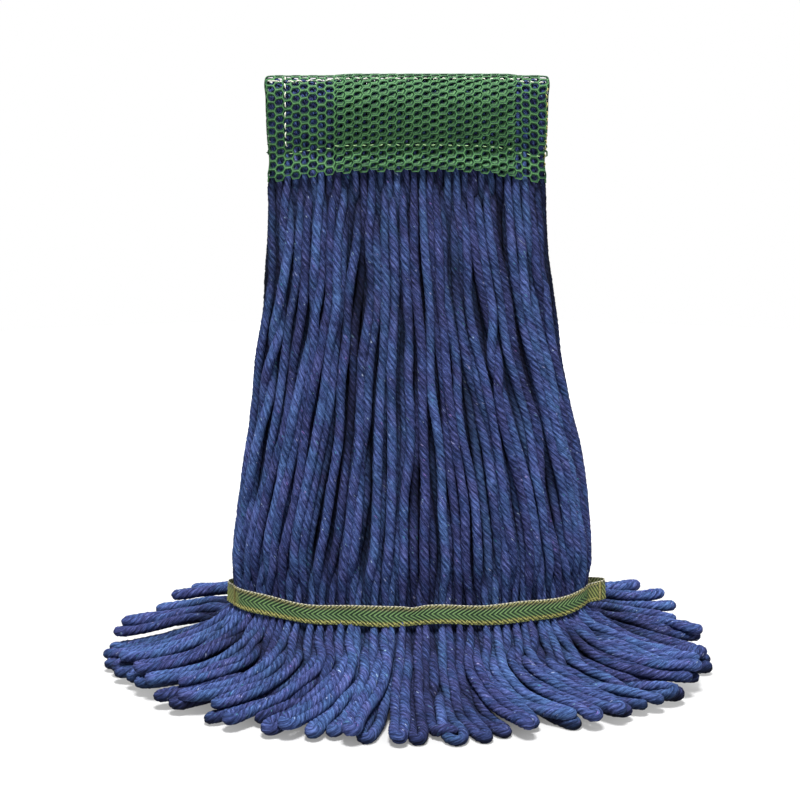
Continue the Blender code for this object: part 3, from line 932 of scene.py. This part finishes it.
def hexagon(sides):
    """Outline of one cell of the staggered lattice, corners and points between them."""
    corner = (PITCH_ACROSS**2 - PITCH_ALONG**2 / 4) / (2 * PITCH_ACROSS)
    tip = (PITCH_ACROSS**2 + PITCH_ALONG**2 / 4) / (2 * PITCH_ACROSS)
    half = PITCH_ALONG / 2
    corners = ((tip, 0), (corner, half), (-corner, half), (-tip, 0), (-corner, -half), (corner, -half))
    corners = np.array(corners)
    share = (np.arange(sides // 6) * 6 / sides)[:, None]
    return np.concatenate([a + (b - a) * share for a, b in zip(corners, np.roll(corners, -1, 0))])


def lattice(left, right, top, bottom, phase):
    """Middles of the whole cells between the limits."""
    columns = np.arange(math.ceil(left / PITCH_ACROSS), math.floor(right / PITCH_ACROSS) + 1)
    middles = []
    for column in columns:
        across = column * PITCH_ACROSS
        lift = (column % 2) / 2 + phase
        rows = np.arange(math.floor(top / PITCH_ALONG - lift) - 1, math.ceil(bottom / PITCH_ALONG - lift) + 2)
        along = (rows + lift) * PITCH_ALONG
        along = along[(along > top) & (along < bottom)]
        middles.append(np.stack((np.full(len(along), across), along), -1))
    return np.concatenate(middles)


NET_RINGS = (
    # share of the way to the hole, height in millimetres, painted light and shade (1 on the wall crest, 0
    # towards the hole)
    (0.0, 0.46, 1.0),
    (0.22, 0.42, 0.7),
    (0.50, 0.28, 0.1),
    (0.82, 0.14, 0.0),
    (1.0, 0.0, 0.0),
)


COVERED_HOLES = 0.62
OPEN_HOLES = 0.88


def cell_holes(middles, outline, rng, tilt, covered):
    """Outlines of the cells' holes: leaning ovals, smaller where a second ply covers them."""
    angle = np.arctan2(outline[:, 1], outline[:, 0])
    size = rng.normal(1, 0.07, (len(middles), 1, 1))
    squeeze = rng.normal(1, 0.06, (len(middles), 1))
    if covered:
        under = (middles[:, 0] > covered[0]) & (middles[:, 0] < covered[1])
        size = size * np.where(under, COVERED_HOLES, OPEN_HOLES)[:, None, None]
    wide = HOLE_ACROSS * np.cos(angle - tilt) * squeeze
    tall = HOLE_ALONG * np.sin(angle - tilt) / squeeze
    across = wide * np.cos(tilt) - tall * np.sin(tilt)
    along = wide * np.sin(tilt) + tall * np.cos(tilt)
    hole = np.stack((across, along), -1) * size
    return middles[:, None] + hole + rng.normal(0, 0.16 * MM, (len(middles), 1, 2))


def net_mesh(edge, holes):
    """The flat net between the cells' edges and their holes, as rings from the front over each
    hole's rim to the back: flat points, heights, painted shade and faces."""
    cells, sides = edge.shape[:2]
    keys = np.round(edge.reshape(-1, 2) / (0.02 * MM)).astype(np.int64)
    _, source, index = np.unique(keys, axis=0, return_index=True, return_inverse=True)
    index = index.reshape(cells, sides)
    shared = edge.reshape(-1, 2)[source]
    count = len(shared)
    _, rise, crest_painted_light = NET_RINGS[0]
    flat = [shared]
    heights = [np.full(count, rise)]
    painted_shades = [np.full(count, crest_painted_light)]
    levels = [index]
    back = tuple((share, -height, painted_shade) for share, height, painted_shade in NET_RINGS[-2:0:-1])
    for share, height, painted_shade in NET_RINGS[1:] + back:
        ring = shared[index] + (holes - shared[index]) * share
        flat.append(ring.reshape(-1, 2))
        heights.append(np.full(cells * sides, height))
        painted_shades.append(np.full(cells * sides, painted_shade))
        levels.append(count + np.arange(cells * sides).reshape(cells, sides))
        count += cells * sides
    flat.append(shared)
    heights.append(np.full(len(shared), -rise))
    painted_shades.append(np.full(len(shared), crest_painted_light))
    levels.append(count + index)
    faces = []
    for outer, inner in zip(levels, levels[1:]):
        quad = np.stack((outer, inner, np.roll(inner, -1, 1), np.roll(outer, -1, 1)), -1)
        faces.append(quad.reshape(-1, 4))
    starts = index.ravel()
    stops = np.roll(index, -1, 1).ravel()
    pair = np.sort(np.stack((starts, stops), -1), 1)
    _, which, uses = np.unique(pair, axis=0, return_inverse=True, return_counts=True)
    single = uses[which.ravel()] == 1
    starts, stops = starts[single], stops[single]
    faces.append(np.stack((starts, stops, stops + count, starts + count), -1))
    return np.concatenate(flat), np.concatenate(heights), np.concatenate(painted_shades), faces


def build_net(name, cloth, limits, phase, material, seed, slide=0.0, tilt=0.0, taper=0.0, covered=None):
    """A net of whole cells, closed on all sides and a little crooked."""
    middles = lattice(*limits, phase)
    outline = hexagon(CELL_SIDES)
    holes = cell_holes(middles, outline, np.random.default_rng(seed), tilt, covered)
    # relief is each ring's painted light and shade, from NET_RINGS.
    flat, height, relief, faces = net_mesh(middles[:, None] + outline, holes)
    across, along = flat[:, 0], flat[:, 1]
    wobble = 0.45 * MM * np.sin(across / 0.021 + along / 0.017)
    wobble = wobble + 0.3 * MM * np.sin(across / 0.009 - along / 0.013)
    lean = 0.35 * MM * np.sin(along / 0.011 + across / 0.03)
    beside = np.minimum(across - limits[0], limits[1] - across)
    sunk = taper * (1 - smoothstep(0, 7 * MM, beside))
    points = cloth.place(across + lean + slide, along + wobble, height * MM - sunk)
    coordinates = np.stack((across, along, height * MM), -1) / MM
    attributes = (("relief", relief), ("cloth", coordinates))
    piece = add_mesh(name, points, [face[:, ::-1] for face in faces], attributes)
    piece.data.materials.append(material)
    return piece


def place_net(net, plies):
    """Fixes a net where it hangs over the crease, and hides the CAD nets of both halves for its plies."""
    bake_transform(net)
    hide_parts(*(f"{half}_headband_net_{plies}" for half, _ in HALVES))


def build_headband(materials):
    """The outer net, its lap over itself, the inner net, and the seams."""
    outer = Cloth(PIECE_GAP + NET / 2, 86 * MM)
    over = Cloth(PIECE_GAP + 1.5 * NET, 84 * MM, wrap=False)
    inner = Cloth(PIECE_GAP + NET / 2, 74 * MM, inner=True, wrap=False)
    limits = (-BAND_HALF, BAND_HALF, -NET_LENGTH, NET_LENGTH)
    net = build_net("net_outer", outer, limits, 0.0, materials["net"], 1, covered=(-38 * MM, 60 * MM))
    place_net(net, "outer")
    limits = (-41 * MM, 62 * MM, -NET_LENGTH, NET_LENGTH)
    lap = build_net("net_overlap", over, limits, 0.5, materials["net"], 2, 1.2 * MM, -0.5, 0.6 * MM)
    place_net(lap, "overlap")
    limits = (-72 * MM, 72 * MM, -48 * MM, 48 * MM)
    # The inner net takes the darker copy of the net material, as painted shade.
    lining = build_net("net_inner", inner, limits, 0.15, materials["net_dark"], 3)
    place_net(lining, "inner")
    build_band_seams(materials, outer, over)


# ---------------------------------------------------------------- stitches

THREAD_PROFILE = np.ones(8)
THREAD_LAY = 4 * MM
BAND_THREAD = 0.3 * MM
TOP_SEAM = 9.5 * MM
LEFT_SEAM = -70 * MM
RIGHT_SEAM = 81 * MM
LAP_LEFT = -42 * MM
LAP_RIGHT = 62 * MM


def stitch_line(cloth, route, pitch, share, rng, dip=0.75 * MM):
    """Separate stitches along a route of (across, along) points: each rises from the cloth, lies
    on it for share of the pitch, and goes back in."""
    route = np.array(route)
    lengths = path_lengths(np.concatenate((route, 0 * route[:, :1]), -1)[None])[0]
    count = int(lengths[-1] / pitch)
    starts = (np.arange(count) + 0.5) * lengths[-1] / count - pitch * share / 2
    starts = starts + rng.normal(0, 0.08 * pitch, count)
    place = starts[:, None] + np.linspace(0, pitch * share, 7)
    place = np.clip(place, 0, lengths[-1])
    across = np.interp(place, lengths, route[:, 0])
    along = np.interp(place, lengths, route[:, 1])
    direction = unit(np.diff(route, axis=0)[[0]])[0]
    tilt = rng.normal(0, 0.18, (count, 1)) * np.linspace(-0.5, 0.5, 7) * pitch * share
    height = np.array((-1.0, 0.35, 0.85, 1.0, 0.85, 0.35, -1.0)) * dip
    return cloth.place(across - direction[1] * tilt, along + direction[0] * tilt, height + 0 * across)


def add_stitches(name, paths, radius, *fitting):
    fine = curve_through(paths, 2)
    radii = np.full(fine.shape[:2], radius)
    fit(add_tubes(name, fine, radii, THREAD_PROFILE, THREAD_LAY), *fitting)


def build_band_seams(materials, outer, over):
    """A white seam along the headband's top and down its left end, a pale one along its lower
    part and a gold one down its right end."""
    rng = np.random.default_rng(SEED + 7)
    white, pale, gold = (materials[key] for key in ("white", "pale", "gold"))
    for half, half_sign in HALVES:
        body = half + "_half"
        if half_sign > 0:
            stretches = (
                # cloth, start, stop, pitch, share, dip in millimetres
                (outer, (-83 * MM, TOP_SEAM), (-71 * MM, TOP_SEAM - 1 * MM), 12, 0.98, 0.75),
                (outer, (LEFT_SEAM, TOP_SEAM), (LAP_LEFT, TOP_SEAM), 5.6, 0.75, 0.75),
                (over, (LAP_LEFT, TOP_SEAM), (LAP_RIGHT + 1 * MM, TOP_SEAM), 5.4, 0.4, 0.45),
                (outer, (LAP_RIGHT + 1 * MM, TOP_SEAM), (80 * MM, TOP_SEAM), 5.2, 0.5, 0.45),
            )
            paths = [stitch_line(cloth, (start, stop), pitch * MM, share, rng, dip * MM)
                     for cloth, start, stop, pitch, share, dip in stretches]
            add_stitches("seam_center", np.concatenate(paths), BAND_THREAD, white, body,
                         "headband_center_seam", "thread_white")
        low = half_sign * BAND_SEAM
        stretches = (
            (outer, LEFT_SEAM, LAP_LEFT - 1 * MM),
            (over, LAP_LEFT, LAP_RIGHT),
            (outer, LAP_RIGHT + 1 * MM, 79 * MM),
        )
        paths = [stitch_line(cloth, ((start, low), (stop, low)), 4.8 * MM, 0.45, rng, 0.5 * MM)
                 for cloth, start, stop in stretches]
        add_stitches(f"seam_lower_{half}", np.concatenate(paths), BAND_THREAD, pale, body,
                     half + "_headband_lower_seam", "thread_white")
        left = ((LEFT_SEAM, half_sign * 3 * MM), (LEFT_SEAM, half_sign * 50 * MM))
        add_stitches(f"seam_left_{half}", stitch_line(outer, left, 5.6 * MM, 0.62, rng), BAND_THREAD,
                     white, body, half + "_headband_left_seam", "thread_white")
        right = ((RIGHT_SEAM, half_sign * 13 * MM), (RIGHT_SEAM, half_sign * 58 * MM))
        add_stitches(f"seam_right_{half}", stitch_line(outer, right, 4.0 * MM, 0.7, rng), BAND_THREAD,
                     gold, body, half + "_headband_right_seam", "thread_gold")


# ---------------------------------------------------------------- tailband

TAPE_STEP = 3.127
TAPE_LEFT = -0.985
TAPE_RIGHT = 1.0
TAPE_OVERHANG = (3.0 * MM, 9.5 * MM)
TAPE_ROWS = 38
TAPE_PITCH = 0.35 * MM
TAPE_HEIGHT = 12.2 * MM
CHEVRON_PITCH = 3.1 * MM
CHEVRON_SLOPE = 1.45
CHEVRON_MIDDLE = 0.02
TAPE_THREAD = 0.2 * MM
TAPE_STITCH_PITCH = 1.95 * MM
TACK_THREAD = 0.36 * MM
TACKS_IN = (9 * MM, 5 * MM)


def tape_line(outer):
    """A dense line along the tape's middle, its outward directions and the distances along it."""
    across = np.linspace(TAPE_LEFT, TAPE_RIGHT, 900)[None]
    step = TAPE_STEP - TAPE_RISE * across**2
    _, outward = layer_axes(across, step)
    offset = (half_thickness(across, step) + PIECE_GAP + TAPE / 2) * (1 if outer else -1)
    points = layer_point(across, step) + outward * offset[..., None]
    points[..., 0] -= TAPE_OVERHANG[0] * smoothstep(-0.9, -1, across)
    points[..., 0] += TAPE_OVERHANG[1] * smoothstep(0.9, 1, across)
    return points[0], outward[0], path_lengths(points)[0]


class Tape:
    """The woven tape's surface: a distance along it from its middle, and a share of its height."""

    def __init__(self, half_sign, outer):
        points, outward, lengths = tape_line(outer)
        self.points, self.outward = points, outward
        self.length = lengths[-1]
        self.lengths = lengths - self.length / 2
        self.flip = np.array((1, half_sign, 1))
        self.hand = half_sign * (1 if outer else -1)
        self.face = 1 if outer else -1

    def read(self, field, along):
        return np.stack([np.interp(along, self.lengths, field[:, axis]) for axis in range(3)], -1)

    def place(self, along, share, height):
        """Points at a distance along the tape and a height above it, where share runs from -0.5 at
        the lower edge to 0.5 at the upper. The tape waves a little, and its upper edge has a nick
        near the middle."""
        point = self.read(self.points, along)
        outward = unit(self.read(self.outward, along))
        upward = unit(np.array((0, 0, 1.0)) - outward * outward[..., 2:])
        wave = 0.7 * MM * np.sin(along / 0.019 + 1.1) + 0.5 * MM * np.sin(along / 0.0083)
        notch = -1.6 * MM * np.exp(-((along + 2 * MM) / (5 * MM)) ** 2) * np.clip(share + 0.2, 0, 1)
        width = TAPE_HEIGHT * (1 - 0.05 * np.sin(along / 0.013))
        lift = share * width + wave + notch
        ripple = 0.25 * MM * np.sin(along / 0.006 + share * 2)
        out = (height * self.face) + ripple
        return (point + upward * lift[..., None] + outward * out[..., None]) * self.flip


def cord_pattern(phase):
    """How far each point is up a woven thread, 0 to 1, where phase counts the threads."""
    return 0.5 + 0.5 * np.cos(2 * np.pi * phase)


def tinted(dark, light, share):
    dark = np.array(dark)
    return dark + (np.array(light) - dark) * share[..., None]


def weave(along, share, hand, length):
    """Relief and color of the tape's face: chevrons, green in the middle, gold below and brown
    above, with a pale selvedge along each edge and gold ends."""
    rise = share - CHEVRON_MIDDLE
    phase = (along * hand - np.abs(rise) * TAPE_HEIGHT * CHEVRON_SLOPE) / CHEVRON_PITCH
    line = smoothstep(0.45, 0.9, cord_pattern(phase))
    plain = smoothstep(0.5 * length - 15 * MM, 0.5 * length - 12 * MM, np.abs(along))
    slant = smoothstep(0.3, 0.8, cord_pattern((along * hand + share * TAPE_HEIGHT * 0.6) / (1.9 * MM)))
    line = line + (slant - line) * plain
    green = tinted((0.010, 0.034, 0.010), (0.150, 0.270, 0.085), line)
    gold = tinted((0.022, 0.034, 0.008), (0.360, 0.360, 0.090), line)
    brown = tinted((0.022, 0.034, 0.010), (0.230, 0.240, 0.110), line)
    low = smoothstep(-0.2, -0.3, share)
    high = smoothstep(0.22, 0.32, share)
    color = green + (gold - green) * np.maximum(low, 0.7 * plain)[..., None]
    color = color + (brown - color) * high[..., None]
    relief = 0.3 * line
    edge = smoothstep(0.45, 0.475, np.abs(share))
    knots = smoothstep(0.2, 0.8, cord_pattern(along * hand / (2.35 * MM)))
    pale = np.where((share > 0)[..., None], (0.36, 0.34, 0.25), (0.28, 0.34, 0.13))
    color = color + (pale * (0.2 + 0.8 * knots[..., None]) - color) * edge[..., None]
    return relief + edge * 0.25 * knots, color


def build_tape(name, tape):
    columns = int(tape.length / TAPE_PITCH)
    along, share = np.meshgrid(np.linspace(-tape.length / 2, tape.length / 2, columns),
                               np.linspace(-0.5, 0.5, TAPE_ROWS), indexing="ij")
    relief, color = weave(along, share, tape.hand, tape.length)
    rim = np.minimum(1, (0.5 - np.abs(share)) / 0.03)
    front = tape.place(along, share, (0.3 + relief * rim) * MM * (0.4 + 0.6 * rim))
    back = tape.place(along, share, -0.3 * MM + 0 * along)
    points = np.concatenate((front.reshape(-1, 3), back.reshape(-1, 3)))
    number = np.arange(columns * TAPE_ROWS).reshape(columns, TAPE_ROWS)
    quads = np.stack((number[:-1, :-1], number[1:, :-1], number[1:, 1:], number[:-1, 1:]), -1).reshape(-1, 4)
    lift = number.size
    border = np.concatenate((number[:, 0], number[-1, 1:], number[-2::-1, -1], number[0, -2:0:-1]))
    after = np.roll(border, -1)
    side = np.stack((after, border, border + lift, after + lift), -1)
    faces = [quads, quads[:, ::-1] + lift, side]
    if tape.hand < 0:
        faces = [face[:, ::-1] for face in faces]
    cloth = np.stack((along / MM, share * TAPE_HEIGHT / MM, 0 * along), -1).reshape(-1, 3)
    woven = color.reshape(-1, 3)
    attributes = (("cloth", np.concatenate((cloth, cloth))), ("woven", np.concatenate((woven, woven))))
    return add_mesh(name, points, faces, attributes)


def tape_stitches(tape, share, pitch, slant, reach):
    """Slanted stitches along one edge of the tape."""
    count = int(tape.length * 0.96 / pitch)
    middle = (np.arange(count) - (count - 1) / 2)[:, None] * pitch
    part = np.linspace(-0.5, 0.5, 5)
    along = middle + part * slant * tape.hand
    height = np.array((-0.2, 0.55, 0.75, 0.55, -0.2)) * MM
    return tape.place(along, share - part * reach + 0 * middle, height + 0 * middle)


def bar_tack(tape, end):
    """A zigzag of thread across the tape near one of its ends."""
    turns = 25
    share = np.linspace(-0.47, 0.47, turns)
    along = end + np.where(np.arange(turns) % 2, 0.8, -0.8) * MM
    return tape.place(along[None], share[None], np.full((1, turns), 0.85 * MM))


def build_tailband(materials):
    """A tape on each face of each half's yarn, stitched along both edges and tacked at its ends."""
    for half, half_sign in HALVES:
        body = half + "_half"
        outer = Tape(half_sign, True)
        for side, tape in (("outer", outer), ("inner", Tape(half_sign, False))):
            piece = build_tape(f"tape_{side}_{half}", tape)
            fit(piece, materials["tape"], body, f"{half}_tailband_{side}_tape", "tape")
        for edge, share, slant in (("upper", 0.40, -1.4 * MM), ("lower", -0.38, 1.6 * MM)):
            paths = tape_stitches(outer, share, TAPE_STITCH_PITCH, slant, 0.16)
            add_stitches(f"seam_tape_{edge}_{half}", paths, TAPE_THREAD, materials["gold"], body,
                         f"{half}_tailband_{edge}_seam", "thread_gold")
        ends = (("left", TACKS_IN[0] - outer.length / 2), ("right", outer.length / 2 - TACKS_IN[1]))
        for hand, end in ends:
            add_stitches(f"tack_{hand}_{half}", bar_tack(outer, end), TACK_THREAD, materials["gold"], body,
                         f"{half}_tailband_{hand}_tack", "thread_gold")


# ---------------------------------------------------------------- stage


FLOOR_RADIUS = 1.4
FLOOR_SIDES = 96
FLOOR_WHITE = 0.30
FLOOR_GLOW = ((0.065, 0.03), (0.115, 0.42), (0.7, 1.0))
LAMPS = (
    # name, place, size, watts
    ("key", (-0.06, -0.60, 2.00), 0.6, 98.0),
    ("fill", (0.8, -1.9, 0.8), 1.2, 7.0),
    ("back", (0.3, 1.4, 1.8), 1.2, 30.0),
)


def build_floor():
    """A round white floor: dark under the head, and glowing towards its edge to meet the surround."""
    angle = np.arange(FLOOR_SIDES) * 2 * np.pi / FLOOR_SIDES
    circle = np.stack((np.cos(angle), np.sin(angle), 0 * angle), -1)
    points = np.concatenate((circle * 0.5, circle * FLOOR_RADIUS, np.zeros((1, 3))))
    around = np.arange(FLOOR_SIDES)
    after = np.roll(around, -1)
    band = np.stack((around, around + FLOOR_SIDES, after + FLOOR_SIDES, after), -1)
    fan = np.stack((around, after, np.full(FLOOR_SIDES, 2 * FLOOR_SIDES)), -1)
    floor = add_mesh("floor", points, [band, fan], smooth=False)
    white = Finish("floor_white", (FLOOR_WHITE,) * 3, 0.9)
    place = white.add("ShaderNodeTexCoord").outputs["Object"]
    mottle = white.noise(place, (3.0, 3.0, 3.0))
    shades = ((0.0, FLOOR_WHITE - 0.01), (1.0, FLOOR_WHITE + 0.01))
    white.feed(white.shader, "Base Color", white.ramp(mottle, shades))
    length = white.add("ShaderNodeVectorMath", ((0, place),), operation="LENGTH").outputs["Value"]
    share = white.weighted_sum(((length, 1 / FLOOR_RADIUS),))
    white.feed(white.shader, "Emission Color", white.ramp(share, FLOOR_GLOW))
    white.feed(white.shader, "Emission Strength", 1.0)
    floor.data.materials.append(white.material)


def build_surround():
    """A white surround that lights the head only dimly, so that the gaps in the yarn stay dark."""
    world = bpy.data.worlds.new("surround")
    world.use_nodes = True
    nodes, links = world.node_tree.nodes, world.node_tree.links
    seen = nodes["Background"]
    seen.inputs["Color"].default_value = (1, 1, 1, 1)
    seen.inputs["Strength"].default_value = 1.0
    light = nodes.new("ShaderNodeBackground")
    light.inputs["Color"].default_value = (1, 1, 1, 1)
    light.inputs["Strength"].default_value = 0.15
    path = nodes.new("ShaderNodeLightPath")
    mix = nodes.new("ShaderNodeMixShader")
    links.new(path.outputs["Is Camera Ray"], mix.inputs[0])
    links.new(light.outputs[0], mix.inputs[1])
    links.new(seen.outputs[0], mix.inputs[2])
    links.new(mix.outputs[0], nodes["World Output"].inputs["Surface"])
    bpy.context.scene.world = world


def build_lamps():
    for name, place, size, energy in LAMPS:
        lamp = bpy.data.lights.new(name, "AREA")
        lamp.size = size
        lamp.energy = energy
        item = bpy.data.objects.new(name, lamp)
        item.location = place
        item.rotation_mode = "QUATERNION"
        item.rotation_quaternion = (Vector((0, 0, 0.15)) - item.location).to_track_quat("-Z", "Y")
        bpy.context.scene.collection.objects.link(item)


def build_camera():
    """At the photographed height and tilt, far enough for the head to fill the same frame."""
    camera = bpy.data.cameras.new("camera")
    camera.lens = 84.5
    item = bpy.data.objects.new("camera", camera)
    item.location = (-0.004, -1.10, 0.381)
    item.rotation_euler = (math.radians(90 - 11.1), 0, 0)
    bpy.context.scene.collection.objects.link(item)
    bpy.context.scene.camera = item


def main():
    bpy.context.scene.view_settings.view_transform = "Standard"
    build_camera()
    build_floor()
    build_surround()
    build_lamps()
    materials = {
        "yarn": yarn_material(),
        "net": net_material("net_green", *NET_GREENS),
        # A darker copy of the net material for the inner net: painted shade.
        "net_dark": net_material("net_dark_green", *NET_SHADED_GREENS),
        "white": thread_material("thread_white", (0.38, 0.40, 0.32), (0.66, 0.68, 0.56)),
        "pale": thread_material("thread_pale", (0.10, 0.19, 0.07), (0.24, 0.38, 0.17)),
        "gold": thread_material("thread_gold", (0.14, 0.12, 0.03), (0.34, 0.31, 0.10)),
        "tape": tape_material(),
    }
    build_yarn(materials["yarn"])
    build_crease_yarn(materials["yarn"])
    build_headband(materials)
    build_tailband(materials)


main()
